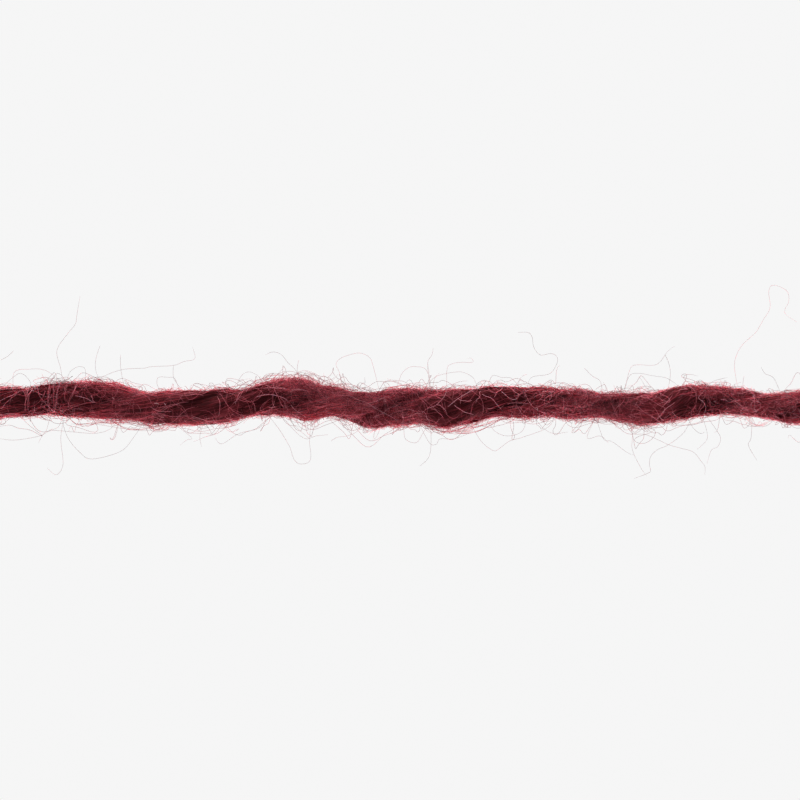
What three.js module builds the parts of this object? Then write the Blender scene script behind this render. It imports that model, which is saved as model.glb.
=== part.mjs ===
// A cut length of two-ply knitting yarn, lying straight on a surface.
// A heavy and a light ply are pressed together and twisted round each other to the left.
// The length is one solid, with a groove on each side where the plies meet.
// Units are millimetres. X runs along the yarn, Z is up and the underside rests at Z = 0.
import * as THREE from 'three';

// The cut length and its twist
const cutLength = 80;
const turnLength = 15.5;
const heavyPlyOnTopAt = -11.6;

// How deep the soft underside is pressed flat where the heavy ply rests on the surface
const pressedFlat = 0.15;

// The plies in section. Reach is how far a ply comes out from the twist axis, and the radii of
// each ply's ellipse are shares of its reach. The plies meet on a face beside the axis.
const heavyPly = { outShare: 0.616, acrossShare: 0.657, points: 14 };
const lightPly = { outShare: 0.61, points: 10 };
const meetingFace = -0.09;

// The spun thickness is uneven: the reach of each ply, and how far the axis wanders sideways
const stretchLength = 4;
const stretches = [
  { along: -40, heavyReach: 1.60, lightReach: 1.00, side: 0.00 },
  { along: -36, heavyReach: 1.70, lightReach: 1.05, side: -0.10 },
  { along: -32, heavyReach: 1.60, lightReach: 1.00, side: 0.05 },
  { along: -28, heavyReach: 1.55, lightReach: 0.95, side: 0.25 },
  { along: -24, heavyReach: 1.65, lightReach: 1.00, side: 0.05 },
  { along: -20, heavyReach: 1.70, lightReach: 1.00, side: -0.20 },
  { along: -16, heavyReach: 1.65, lightReach: 0.95, side: 0.05 },
  { along: -12, heavyReach: 1.65, lightReach: 1.00, side: 0.05 },
  { along: -8, heavyReach: 1.80, lightReach: 1.15, side: 0.10 },
  { along: -4, heavyReach: 1.65, lightReach: 1.05, side: -0.10 },
  { along: 0, heavyReach: 1.75, lightReach: 1.05, side: 0.05 },
  { along: 4, heavyReach: 2.00, lightReach: 1.10, side: -0.30 },
  { along: 8, heavyReach: 1.45, lightReach: 0.95, side: -0.15 },
  { along: 12, heavyReach: 1.60, lightReach: 1.00, side: 0.15 },
  { along: 16, heavyReach: 1.35, lightReach: 0.80, side: -0.05 },
  { along: 20, heavyReach: 1.85, lightReach: 1.00, side: -0.25 },
  { along: 24, heavyReach: 1.35, lightReach: 0.75, side: -0.05 },
  { along: 28, heavyReach: 1.50, lightReach: 0.90, side: -0.10 },
  { along: 32, heavyReach: 1.55, lightReach: 0.95, side: 0.10 },
  { along: 36, heavyReach: 1.50, lightReach: 0.90, side: 0.00 },
  { along: 40, heavyReach: 1.50, lightReach: 0.90, side: -0.05 },
];

// Rings of points along the yarn, close enough for the grooves to turn smoothly
const ringSpacing = 0.65;

// A value of the table at any place, on one smooth curve through the rows
function valueAt(along, column) {
  const lastRow = stretches.length - 1;
  const place = (along - stretches[0].along) / stretchLength;
  const row = THREE.MathUtils.clamp(Math.floor(place), 0, lastRow - 1);
  const valueOf = (index) => stretches[THREE.MathUtils.clamp(index, 0, lastRow)][column];
  const start = valueOf(row);
  const end = valueOf(row + 1);
  const startSlope = (end - valueOf(row - 1)) / 2;
  const endSlope = (valueOf(row + 2) - start) / 2;
  const square = 3 * (end - start) - 2 * startSlope - endSlope;
  const cube = 2 * (start - end) + startSlope + endSlope;
  const t = place - row;
  return start + t * (startSlope + t * (square + t * cube));
}

// The left-hand twist: zero where the heavy ply lies on top, half a turn where it rests
function turnsAt(along) {
  return (along - heavyPlyOnTopAt) / turnLength;
}

// The axis runs straight from one resting place of the heavy ply to the next
function axisHeightAt(along) {
  const place = turnsAt(along) - 0.5;
  const heights = [Math.floor(place), Math.floor(place) + 1].map((turn) => {
    const restingPlace = heavyPlyOnTopAt + (turn + 0.5) * turnLength;
    const onTheYarn = THREE.MathUtils.clamp(restingPlace, -cutLength / 2, cutLength / 2);
    return valueAt(onTheYarn, 'heavyReach') - pressedFlat;
  });
  return THREE.MathUtils.lerp(heights[0], heights[1], place - Math.floor(place));
}

// The points of one ply's arc, from one groove round to the other
function plyArc(centre, outRadius, acrossRadius, grooveAngle, points) {
  const arc = [];
  for (let i = 0; i < points; i += 1) {
    const angle = grooveAngle * (1 - (2 * i) / points);
    arc.push({
      out: centre + outRadius * Math.cos(angle),
      across: acrossRadius * Math.sin(angle),
    });
  }
  return arc;
}

// Both plies' outlines joined at the grooves, seen along the yarn with the heavy ply outwards
function sectionAt(along) {
  const heavyReach = valueAt(along, 'heavyReach');
  const lightReach = valueAt(along, 'lightReach');
  const heavyOut = heavyPly.outShare * heavyReach;
  const heavyAcross = heavyPly.acrossShare * heavyReach;
  const heavyCentre = heavyReach - heavyOut;
  const heavyGroove = Math.acos((meetingFace - heavyCentre) / heavyOut);
  const grooveAcross = heavyAcross * Math.sin(heavyGroove);

  const lightOut = lightPly.outShare * lightReach;
  const lightCentre = lightReach - lightOut;
  const lightGroove = Math.acos((-meetingFace - lightCentre) / lightOut);
  const lightAcross = grooveAcross / Math.sin(lightGroove);

  const heavyArc = plyArc(heavyCentre, heavyOut, heavyAcross, heavyGroove, heavyPly.points);
  const lightArc = plyArc(lightCentre, lightOut, lightAcross, lightGroove, lightPly.points);
  const turnedLightArc = lightArc.map(({ out, across }) => ({ out: -out, across: -across }));
  return [...heavyArc, ...turnedLightArc];
}

// One ring of the strand: the section turned with the twist, and pressed flat on the surface
function ringAt(along) {
  const turn = 2 * Math.PI * turnsAt(along);
  const side = valueAt(along, 'side');
  const height = axisHeightAt(along);
  return sectionAt(along).map(({ out, across }) => {
    const y = side + out * Math.sin(turn) + across * Math.cos(turn);
    const z = height + out * Math.cos(turn) - across * Math.sin(turn);
    return new THREE.Vector3(along, y, Math.max(z, 0));
  });
}

// The closed skin of the strand, with a flat cut at each end
function strandGeometry() {
  const steps = Math.round(cutLength / ringSpacing);
  const around = heavyPly.points + lightPly.points;
  const points = [];
  for (let step = 0; step <= steps; step += 1) {
    points.push(...ringAt(-cutLength / 2 + (step / steps) * cutLength));
  }
  const faces = [];
  for (let step = 0; step < steps; step += 1) {
    for (let i = 0; i < around; i += 1) {
      const here = step * around + i;
      const beside = step * around + ((i + 1) % around);
      faces.push(here, beside, here + around);
      faces.push(beside, beside + around, here + around);
    }
  }
  for (const end of [0, steps]) {
    const centre = points.length;
    const along = -cutLength / 2 + (end / steps) * cutLength;
    points.push(new THREE.Vector3(along, valueAt(along, 'side'), axisHeightAt(along)));
    for (let i = 0; i < around; i += 1) {
      const here = end * around + i;
      const beside = end * around + ((i + 1) % around);
      faces.push(centre, ...(end === 0 ? [beside, here] : [here, beside]));
    }
  }
  const geometry = new THREE.BufferGeometry().setFromPoints(points);
  geometry.setIndex(faces);
  geometry.computeVertexNormals();
  return geometry;
}

const wineRedWool = new THREE.MeshStandardMaterial({ color: '#66272e', roughness: 0.95, metalness: 0 });

const strand = new THREE.Mesh(strandGeometry(), wineRedWool);
strand.name = 'yarn_strand';

const yarn = new THREE.Group();
yarn.add(strand);

export default yarn;
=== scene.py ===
import math

import bpy
import numpy as np
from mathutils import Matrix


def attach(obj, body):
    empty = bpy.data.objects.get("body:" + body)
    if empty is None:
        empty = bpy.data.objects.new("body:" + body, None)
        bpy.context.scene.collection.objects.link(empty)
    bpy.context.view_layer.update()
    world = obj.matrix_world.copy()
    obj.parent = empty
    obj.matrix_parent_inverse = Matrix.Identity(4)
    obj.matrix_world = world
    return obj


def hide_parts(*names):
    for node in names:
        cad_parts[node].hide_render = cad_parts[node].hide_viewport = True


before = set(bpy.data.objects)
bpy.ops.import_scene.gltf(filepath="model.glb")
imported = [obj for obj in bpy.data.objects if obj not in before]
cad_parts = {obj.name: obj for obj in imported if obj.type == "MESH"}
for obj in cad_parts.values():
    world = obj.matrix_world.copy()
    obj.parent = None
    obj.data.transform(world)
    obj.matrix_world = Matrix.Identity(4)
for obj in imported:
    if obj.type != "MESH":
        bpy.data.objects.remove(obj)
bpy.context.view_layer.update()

# The two plies
# Each ply is a soft bundle of dyed wool, spun loosely and unevenly. The heavy and the light one
# are pressed together on a flat face and twisted round each other to the left, and the strand
# lies straight on the surface, pressed flat where the heavy ply passes underneath.

MM = 0.001
CUT_LENGTH = 80 * MM
TURN_LENGTH = 15.5 * MM
HEAVY_PLY_ON_TOP_AT = -11.6 * MM
PRESSED_FLAT = 0.15 * MM
MEETING_FACE = -0.09 * MM
HEAVY_OUT_SHARE = 0.616
HEAVY_ACROSS_SHARE = 0.657
LIGHT_OUT_SHARE = 0.61

# One row for every 4 mm from end to end, in millimetres: how far each ply reaches out from the
# twist axis, and how far the axis lies to the side.
STRETCH_LENGTH = 4 * MM
STRETCHES = [
    dict(heavy_reach=1.6, light_reach=1.0, side=0.0),
    dict(heavy_reach=1.7, light_reach=1.05, side=-0.1),
    dict(heavy_reach=1.6, light_reach=1.0, side=0.05),
    dict(heavy_reach=1.55, light_reach=0.95, side=0.25),
    dict(heavy_reach=1.65, light_reach=1.0, side=0.05),
    dict(heavy_reach=1.7, light_reach=1.0, side=-0.2),
    dict(heavy_reach=1.65, light_reach=0.95, side=0.05),
    dict(heavy_reach=1.65, light_reach=1.0, side=0.05),
    dict(heavy_reach=1.8, light_reach=1.15, side=0.1),
    dict(heavy_reach=1.65, light_reach=1.05, side=-0.1),
    dict(heavy_reach=1.75, light_reach=1.05, side=0.05),
    dict(heavy_reach=2.0, light_reach=1.1, side=-0.3),
    dict(heavy_reach=1.45, light_reach=0.95, side=-0.15),
    dict(heavy_reach=1.6, light_reach=1.0, side=0.15),
    dict(heavy_reach=1.35, light_reach=0.8, side=-0.05),
    dict(heavy_reach=1.85, light_reach=1.0, side=-0.25),
    dict(heavy_reach=1.35, light_reach=0.75, side=-0.05),
    dict(heavy_reach=1.5, light_reach=0.9, side=-0.1),
    dict(heavy_reach=1.55, light_reach=0.95, side=0.1),
    dict(heavy_reach=1.5, light_reach=0.9, side=0.0),
    dict(heavy_reach=1.5, light_reach=0.9, side=-0.05),
]


def smooth_curve(values, place):
    """One smooth curve through a row of values, read at any places counted from the first."""
    last = len(values) - 1
    row = np.clip(np.floor(place).astype(int), 0, last - 1)
    before, start, end, after = (values[np.clip(row + step, 0, last)] for step in (-1, 0, 1, 2))
    start_slope = (end - before) / 2
    end_slope = (after - start) / 2
    square = 3 * (end - start) - 2 * start_slope - end_slope
    cube = 2 * (start - end) + start_slope + end_slope
    t = np.clip(place - row, 0, 1)
    return start + t * (start_slope + t * (square + t * cube))


def value_at(along, column):
    """A column of the table of stretches at any places along the yarn."""
    values = np.array([row[column] for row in STRETCHES]) * MM
    return smooth_curve(values, (np.asarray(along) + CUT_LENGTH / 2) / STRETCH_LENGTH)


def turn_at(along):
    """The angle of the twist: none where the heavy ply lies on top."""
    return 2 * math.pi * (np.asarray(along) - HEAVY_PLY_ON_TOP_AT) / TURN_LENGTH


def axis_height_at(along):
    """The height of the twist axis, straight from one resting place of the heavy ply to the next."""
    place = turn_at(along) / (2 * math.pi) - 0.5
    before = np.floor(place)
    heights = []
    for turn in (before, before + 1):
        resting_place = HEAVY_PLY_ON_TOP_AT + (turn + 0.5) * TURN_LENGTH
        on_the_yarn = np.clip(resting_place, -CUT_LENGTH / 2, CUT_LENGTH / 2)
        heights.append(value_at(on_the_yarn, "heavy_reach") - PRESSED_FLAT)
    return heights[0] + (place - before) * (heights[1] - heights[0])


def plies_at(along):
    """The ellipses of the heavy and the light ply. The light one lies the other way out."""
    heavy_reach = value_at(along, "heavy_reach")
    light_reach = value_at(along, "light_reach")
    heavy_out = HEAVY_OUT_SHARE * heavy_reach
    heavy_across = HEAVY_ACROSS_SHARE * heavy_reach
    heavy_centre = heavy_reach - heavy_out
    heavy_groove = np.arccos((MEETING_FACE - heavy_centre) / heavy_out)
    light_out = LIGHT_OUT_SHARE * light_reach
    light_centre = light_reach - light_out
    light_groove = np.arccos((-MEETING_FACE - light_centre) / light_out)
    light_across = heavy_across * np.sin(heavy_groove) / np.sin(light_groove)
    return (
        dict(way=1, centre=heavy_centre, out=heavy_out, across=heavy_across, groove=heavy_groove),
        dict(way=-1, centre=light_centre, out=light_out, across=light_across, groove=light_groove))


# Short swells of the wool and pinches, seen at the sides, in millimetres. The columns are the
# place along, the side (1 is towards +Y), about half of the length, and how far it comes out.
HALF_WIDTH = 1.25 * MM
HAIRLINE = 0.01 * MM
SWELLS = [
    (-29.7, 1, 0.8, 0.1),
    (-29.3, -1, 0.9, -0.28),
    (-26.9, 1, 0.6, 0.15),
    (-26.7, -1, 0.9, 0.12),
    (-21.3, 1, 0.4, 0.1),
    (-18.9, -1, 0.4, 0.14),
    (-13.4, 1, 0.6, 0.17),
    (-12.6, -1, 0.7, 0.12),
    (-9.5, -1, 0.9, -0.31),
    (-6.8, -1, 0.5, 0.2),
    (-5.9, 1, 0.5, -0.16),
    (-5.2, -1, 0.6, -0.27),
    (-2.6, -1, 0.9, 0.34),
    (-2.0, 1, 0.8, -0.31),
    (1.6, -1, 0.9, -0.3),
    (3.5, 1, 0.4, 0.14),
    (4.4, -1, 0.7, 0.18),
    (5.4, 1, 0.7, -0.14),
    (7.2, -1, 0.7, -0.3),
    (9.8, 1, 0.7, -0.1),
    (10.4, -1, 1.1, 0.16),
    (14.9, 1, 0.6, -0.2),
    (15.0, -1, 1.2, -0.34),
    (18.1, 1, 0.4, 0.17),
    (21.9, -1, 0.8, -0.2),
    (24.6, -1, 0.8, -0.12),
    (27.9, -1, 0.5, -0.13),
]


def swollen(along, y, z):
    """How far places lie to the side of the axis, once the wool swells or is pinched there."""
    sideways = y / (np.hypot(y, z) + HAIRLINE)
    push = 0
    for middle, side, length, out in SWELLS:
        far_along = (along / MM - middle) / length
        at_its_side = np.clip(side * sideways, 0, 1)
        push = push + out * MM * np.exp(-far_along ** 2 / 2) * at_its_side
    return y * (1 + push / HALF_WIDTH)


def in_the_strand(along, out, across):
    """Places in the turning section, as points over the surface."""
    turn = turn_at(along)
    y = out * np.sin(turn) + across * np.cos(turn)
    z = out * np.cos(turn) - across * np.sin(turn)
    y = value_at(along, "side") + swollen(along, y, z)
    return np.stack(np.broadcast_arrays(along, y, axis_height_at(along) + z), axis=-1)


def on_the_ply(ply, along, angle, depth):
    """Points on a ply at an angle from its outermost line, sunk under its outline by a depth."""
    out = ply["centre"] + (ply["out"] - depth) * np.cos(angle)
    across = (ply["across"] - depth) * np.sin(angle)
    return in_the_strand(along, ply["way"] * out, ply["way"] * across)


# Felted patches, where the outer fibres are loose and light, and bare ones, dark and smooth. The
# columns are the millimetres along, the degrees round the strand from straight up, about half of
# the length and of the width in those, and how felted it is, below nothing where it is bare.
PATCHES = [
    (-29.0, 5, 1.2, 30, -1.4),
    (-27.6, -57, 1.0, 12, 1.2),
    (-27.0, 20, 1.1, 30, -1.3),
    (-24.6, 45, 2.3, 26, -2.8),
    (-23.2, -10, 1.2, 22, 1.2),
    (-21.1, -40, 1.4, 18, -1.1),
    (-17.0, 34, 1.4, 16, -1.0),
    (-14.4, -12, 1.6, 35, -1.6),
    (-12.6, -58, 0.7, 10, 2.0),
    (-12.2, 12, 2.0, 32, -1.9),
    (-9.4, -52, 1.0, 12, 1.0),
    (-10.3, 25, 1.2, 16, -1.6),
    (-4.8, 52, 2.6, 22, 2.2),
    (-4.0, 0, 0.7, 30, 1.3),
    (-2.6, -55, 0.9, 12, 2.0),
    (-0.4, 18, 1.2, 30, 1.8),
    (1.4, 52, 1.0, 16, 1.6),
    (2.0, 12, 0.8, 18, -1.7),
    (4.3, -12, 2.0, 25, -1.1),
    (4.8, 14, 1.2, 14, -1.2),
    (5.2, -58, 1.4, 10, 2.4),
    (7.0, 50, 2.2, 15, -1.2),
    (7.6, -18, 0.7, 20, 1.4),
    (10.3, 28, 1.8, 22, -2.6),
    (12.6, -48, 0.9, 16, 2.0),
    (13.4, 0, 1.6, 45, 1.1),
    (15.6, 50, 2.8, 22, 2.4),
    (21.0, 12, 1.3, 40, -1.7),
    (24.1, 52, 1.4, 16, 2.2),
    (25.8, -22, 0.9, 24, 1.1),
    (29.0, 20, 1.2, 35, 1.2),
]


def felting_at(along, direction):
    """How felted the strand is, from -1 to 1, at places along it and directions round it."""
    felting = 0.25 * (np.sin(along / (1.7 * MM) + 1) + np.sin(
        direction + 2 * np.sin(along / (5.3 * MM)) + 2 * np.sin(along / (2.1 * MM) + 2)))
    for middle, degrees, length, width, felted in PATCHES:
        far_along = (along / MM - middle) / length
        far_round = (np.degrees(direction) - degrees) / width
        felting = felting + felted * np.exp(-(far_along ** 2 + far_round ** 2) / 2)
    return np.tanh(felting)


def direction_of(points):
    """The directions in which points lie from the twist axis, where 0 is straight up."""
    along, y, z = np.moveaxis(points, -1, 0)
    return np.arctan2(y - value_at(along, "side"), z - axis_height_at(along))


def uneven_waves(rng, shape, share, slowest, quickest, waves=3):
    """Soft uneven waves along each fibre, between about -1 and 1, that never repeat."""
    total = 0
    for _ in range(waves):
        total = total + np.sin(2 * math.pi * (
            rng.uniform(slowest, quickest, shape) * share + rng.random(shape)))
    return total / math.sqrt(waves)


PACKED_RINGS = 241
PACKED_POINTS_ROUND = 40
PACKED_END_GAP = 0.2 * MM
PACKED_DEPTH = 0.1 * MM
PACKED_FACE_SHARE = 0.2
RIDGE_HEIGHT = 0.035 * MM
FIBRE_SLANT = 0.25 / MM
FACE_OVERLAP = 0.03 * MM
LOWEST_WOOL = 0.02 * MM


def packed_ply(pick):
    """Points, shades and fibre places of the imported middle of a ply, ridged along its fibres."""
    packed_end = CUT_LENGTH / 2 - PACKED_END_GAP
    along = np.linspace(-packed_end, packed_end, PACKED_RINGS)[:, None]
    ply = plies_at(along)[pick]
    round_share = np.linspace(0, 1, PACKED_POINTS_ROUND, endpoint=False)[None, :]
    on_face = round_share < PACKED_FACE_SHARE
    arc_share = (round_share - PACKED_FACE_SHARE) / (1 - PACKED_FACE_SHARE)
    angle = ply["groove"] * (2 * arc_share - 1)
    fibre_line = angle + FIBRE_SLANT * along + 3 * pick
    ridges = 0.5 * (np.sin(6 * fibre_line + np.sin(along / (1.3 * MM)))
                    + np.sin(10 * fibre_line + 2 * np.sin(along / (2.9 * MM) + 1)))
    skin = on_the_ply(ply, along, angle, PACKED_DEPTH - RIDGE_HEIGHT * ridges)
    out = ply["centre"] + ply["out"] * np.cos(ply["groove"]) - FACE_OVERLAP
    edge = (ply["across"] - PACKED_DEPTH) * np.sin(ply["groove"])
    across = edge * (1 - 2 * round_share / PACKED_FACE_SHARE)
    face = in_the_strand(along, ply["way"] * out, ply["way"] * across)
    points = np.where(on_face[..., None], face, skin)
    points[..., 2] = np.maximum(points[..., 2], LOWEST_WOOL)
    # Painted shade: the packed wool is drawn darker towards the grooves where the plies meet, and
    # darker between its ridges than on them.
    painted_groove_shade = np.abs(angle / ply["groove"]).clip(0, 1) ** 6
    felting = felting_at(points[..., 0], direction_of(points))
    shades = 0.5 + 0.15 * ridges + 0.3 * felting - 0.4 * painted_groove_shade
    places = np.stack(np.broadcast_arrays(along, fibre_line * ply["across"], pick), axis=-1)
    return points, shades, places


def tube_faces(rings, around, first):
    """Quads of a tube of rings, and one many-sided face at each end."""
    ring = first + np.arange(rings - 1)[:, None] * around
    here = ring + np.arange(around)[None, :]
    beside = ring + (np.arange(around)[None, :] + 1) % around
    quads = np.stack([here, beside, beside + around, here + around], axis=-1).reshape(-1, 4)
    start = list(range(first + around - 1, first - 1, -1))
    end = list(range(first + (rings - 1) * around, first + rings * around))
    return quads.tolist() + [start, end]


def mesh_piece(name, points, faces, material, shades, bake_places):
    """A piece of wool from points and faces, with a shade for each point and its own bake map."""
    mesh = bpy.data.meshes.new(name)
    mesh.from_pydata(points, [], faces)
    mesh.shade_smooth()
    mesh.materials.append(material)
    shade = mesh.attributes.new("fibre_shade", "FLOAT", "POINT")
    shade.data.foreach_set("value", shades.astype(np.float32))
    bake_map = mesh.uv_layers.new(name="OFBake")
    bake_map.data.foreach_set("uv", bake_places.astype(np.float32).ravel())
    piece = bpy.data.objects.new(name, mesh)
    bpy.context.scene.collection.objects.link(piece)
    return piece


def packed_bake_places(rings, around, tubes, lengths):
    """Bake places for tubes, in equal lengths under each other, with the ends in the margins."""
    step = np.arange(rings - 1)[:, None]
    a_length = (rings - 1) / lengths
    length_number = np.floor(step / a_length)
    along = step / a_length - length_number
    next_along = along + 1 / a_length
    up = np.arange(around)[None, :] / around
    next_up = up + 1 / around
    rows = []
    for tube in range(tubes):
        row = tube * lengths + length_number
        corners = [(along, up), (along, next_up), (next_along, next_up), (next_along, up)]
        for_quads = np.stack([
            np.stack(np.broadcast_arrays(
                0.01 + 0.98 * u, (row + 0.03 + 0.94 * v) / (tubes * lengths)), axis=-1)
            for u, v in corners], axis=-2)
        turn = np.linspace(0, 2 * math.pi, around, endpoint=False)
        for_end = np.stack([0.004 + 0.003 * np.cos(turn), 0.5 + 0.4 * np.sin(turn)], axis=-1)
        rows += [for_quads.reshape(-1, 2), for_end, for_end + [0.992, 0]]
    return np.concatenate(rows)


def new_group(name, inputs, outputs):
    """An empty shader group with named inputs and outputs, and its two end nodes."""
    group = bpy.data.node_groups.new(name, "ShaderNodeTree")
    for label, kind, value in inputs:
        socket = group.interface.new_socket(label, in_out="INPUT", socket_type=kind)
        socket.default_value = value
    for label, kind in outputs:
        group.interface.new_socket(label, in_out="OUTPUT", socket_type=kind)
    return group, group.nodes.new("NodeGroupInput"), group.nodes.new("NodeGroupOutput")


def maths(tree, operation, *values):
    """One maths node on sockets or numbers, and its result."""
    node = tree.nodes.new("ShaderNodeMath")
    node.operation = operation
    for socket, value in zip(node.inputs, values):
        if isinstance(value, (int, float)):
            socket.default_value = value
        else:
            tree.links.new(value, socket)
    return node.outputs[0]


PATCHES_PER_METRE = 450
STREAKS_ALONG = 500
STREAKS_ACROSS = 8000


def dye_and_painted_shade_group():
    """Wool takes the dye unevenly: from fibre to fibre, in soft patches and in fine streaks. The fibre
    shade it reads also carries the painted shade and painted light of the pieces.
    """
    group, given, made = new_group(
        "uneven dye and painted shade",
        [
            ("Deep Colour", "NodeSocketColor", (0.1, 0.02, 0.03, 1)),
            ("Light Colour", "NodeSocketColor", (0.4, 0.1, 0.14, 1)),
            ("Fibre Contrast", "NodeSocketFloat", 1.0),
            ("Patch Contrast", "NodeSocketFloat", 1.0),
            ("Streak Contrast", "NodeSocketFloat", 0.0),
        ],
        [("Colour", "NodeSocketColor"), ("Roughness", "NodeSocketFloat"),
         ("Height", "NodeSocketFloat")],
    )
    fibre = group.nodes.new("ShaderNodeAttribute")
    fibre.attribute_name = "fibre_shade"
    place = group.nodes.new("ShaderNodeTexCoord")
    patch = group.nodes.new("ShaderNodeTexNoise")
    patch.inputs["Scale"].default_value = PATCHES_PER_METRE
    patch.inputs["Detail"].default_value = 2
    group.links.new(place.outputs["Object"], patch.inputs["Vector"])
    fibre_place = group.nodes.new("ShaderNodeAttribute")
    fibre_place.attribute_name = "fibre_place"
    stretched = group.nodes.new("ShaderNodeVectorMath")
    stretched.operation = "MULTIPLY"
    stretched.inputs[1].default_value = (STREAKS_ALONG, STREAKS_ACROSS, 10)
    group.links.new(fibre_place.outputs["Vector"], stretched.inputs[0])
    streak = group.nodes.new("ShaderNodeTexNoise")
    streak.inputs["Scale"].default_value = 1
    streak.inputs["Detail"].default_value = 3
    streak.inputs["Roughness"].default_value = 0.6
    group.links.new(stretched.outputs["Vector"], streak.inputs["Vector"])
    group.links.new(streak.outputs["Fac"], made.inputs["Height"])
    from_fibre, from_patch, from_streak = (
        maths(group, "MULTIPLY", maths(group, "SUBTRACT", node.outputs["Fac"], 0.5),
              given.outputs[label + " Contrast"])
        for node, label in ((fibre, "Fibre"), (patch, "Patch"), (streak, "Streak")))
    fibre_and_patch = maths(group, "ADD", from_fibre, from_patch)
    share = maths(group, "ADD", maths(group, "ADD", fibre_and_patch, from_streak), 0.5)
    limited = maths(group, "MINIMUM", maths(group, "MAXIMUM", share, 0.0), 1.0)
    blend = group.nodes.new("ShaderNodeMix")
    blend.data_type = "RGBA"
    group.links.new(limited, blend.inputs["Factor"])
    group.links.new(given.outputs["Deep Colour"], blend.inputs["A"])
    group.links.new(given.outputs["Light Colour"], blend.inputs["B"])
    group.links.new(blend.outputs["Result"], made.inputs["Colour"])
    rough = maths(group, "ADD", maths(group, "MULTIPLY", limited, -0.2), 0.85)
    group.links.new(rough, made.inputs["Roughness"])
    return group


DYE_AND_PAINTED_SHADE = dye_and_painted_shade_group()


def wool_material(name, deep, light, fibre_contrast, patch_contrast, glow, streaks=0.0):
    """Dyed wool. The glow is how much of the light is sent on through thin fibres."""
    material = bpy.data.materials.new(name)
    material.use_nodes = True
    tree = material.node_tree
    surface = tree.nodes["Principled BSDF"]
    dye = tree.nodes.new("ShaderNodeGroup")
    dye.name = "dye"
    dye.node_tree = DYE_AND_PAINTED_SHADE
    for label, value in (
            ("Deep Colour", (*deep, 1)), ("Light Colour", (*light, 1)),
            ("Fibre Contrast", fibre_contrast), ("Patch Contrast", patch_contrast),
            ("Streak Contrast", streaks)):
        dye.inputs[label].default_value = value
    tree.links.new(dye.outputs["Colour"], surface.inputs["Base Color"])
    tree.links.new(dye.outputs["Roughness"], surface.inputs["Roughness"])
    surface.inputs["Specular IOR Level"].default_value = 0.06
    surface.inputs["Subsurface Weight"].default_value = glow
    surface.inputs["Subsurface Radius"].default_value = (1.0, 0.3, 0.35)
    surface.inputs["Subsurface Scale"].default_value = 0.08 * MM
    return material


# Painted shade: the packed wool is drawn much darker than the spun and loose wool, for the shade among
# its densely packed fibres.
packed_wool = wool_material(
    "packed wool", deep=(0.08, 0.014, 0.017), light=(0.36, 0.048, 0.065),
    fibre_contrast=1.0, patch_contrast=0.8, glow=0.0, streaks=2.6)
packed_tree = packed_wool.node_tree
packed_nodes = packed_tree.nodes
fibre_bump = packed_nodes.new("ShaderNodeBump")
fibre_bump.inputs["Strength"].default_value = 0.6
fibre_bump.inputs["Distance"].default_value = 0.04 * MM
packed_tree.links.new(packed_nodes["dye"].outputs["Height"], fibre_bump.inputs["Height"])
packed_tree.links.new(fibre_bump.outputs["Normal"], packed_nodes["Principled BSDF"].inputs["Normal"])

packed = [packed_ply(pick) for pick in (0, 1)]
packed_faces = []
for pick in (0, 1):
    packed_faces += tube_faces(
        PACKED_RINGS, PACKED_POINTS_ROUND, pick * PACKED_RINGS * PACKED_POINTS_ROUND)
packed_points, packed_shades, packed_places = (
    np.concatenate([part.reshape(PACKED_RINGS * PACKED_POINTS_ROUND, -1) for part in parts])
    for parts in zip(*packed))
strand = mesh_piece(
    "yarn_plies", packed_points.tolist(), packed_faces, packed_wool, packed_shades.ravel(),
    packed_bake_places(PACKED_RINGS, PACKED_POINTS_ROUND, tubes=2, lengths=3))
fibre_place = strand.data.attributes.new("fibre_place", "FLOAT_VECTOR", "POINT")
fibre_place.data.foreach_set("vector", packed_places.astype(np.float32).ravel())
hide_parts("yarn_strand")
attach(strand, "root")

CENTRELINE_POINTS = 33
centreline = in_the_strand(
    np.linspace(-CUT_LENGTH / 2, CUT_LENGTH / 2, CENTRELINE_POINTS), 0.2 * MM, 0.0).tolist()

# The spun fibres of each ply
# Thousands of crimped wool fibres lie side by side in the outer layers of each ply. Spinning
# holds them, and they run more nearly straight along the yarn than the plies do.

SPUN_THICKNESS = 0.034 * MM
SPUN_STEPS = 11
FIBRES_IN_A_LOCK = 6
TUBE_SIDES = 3
FIRST_CORNER_TOWARDS = (0.31, 0.52, 0.79)
TINY = 1e-12
CELL_EDGE = 0.12
CELL_FILL = 0.76


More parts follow.
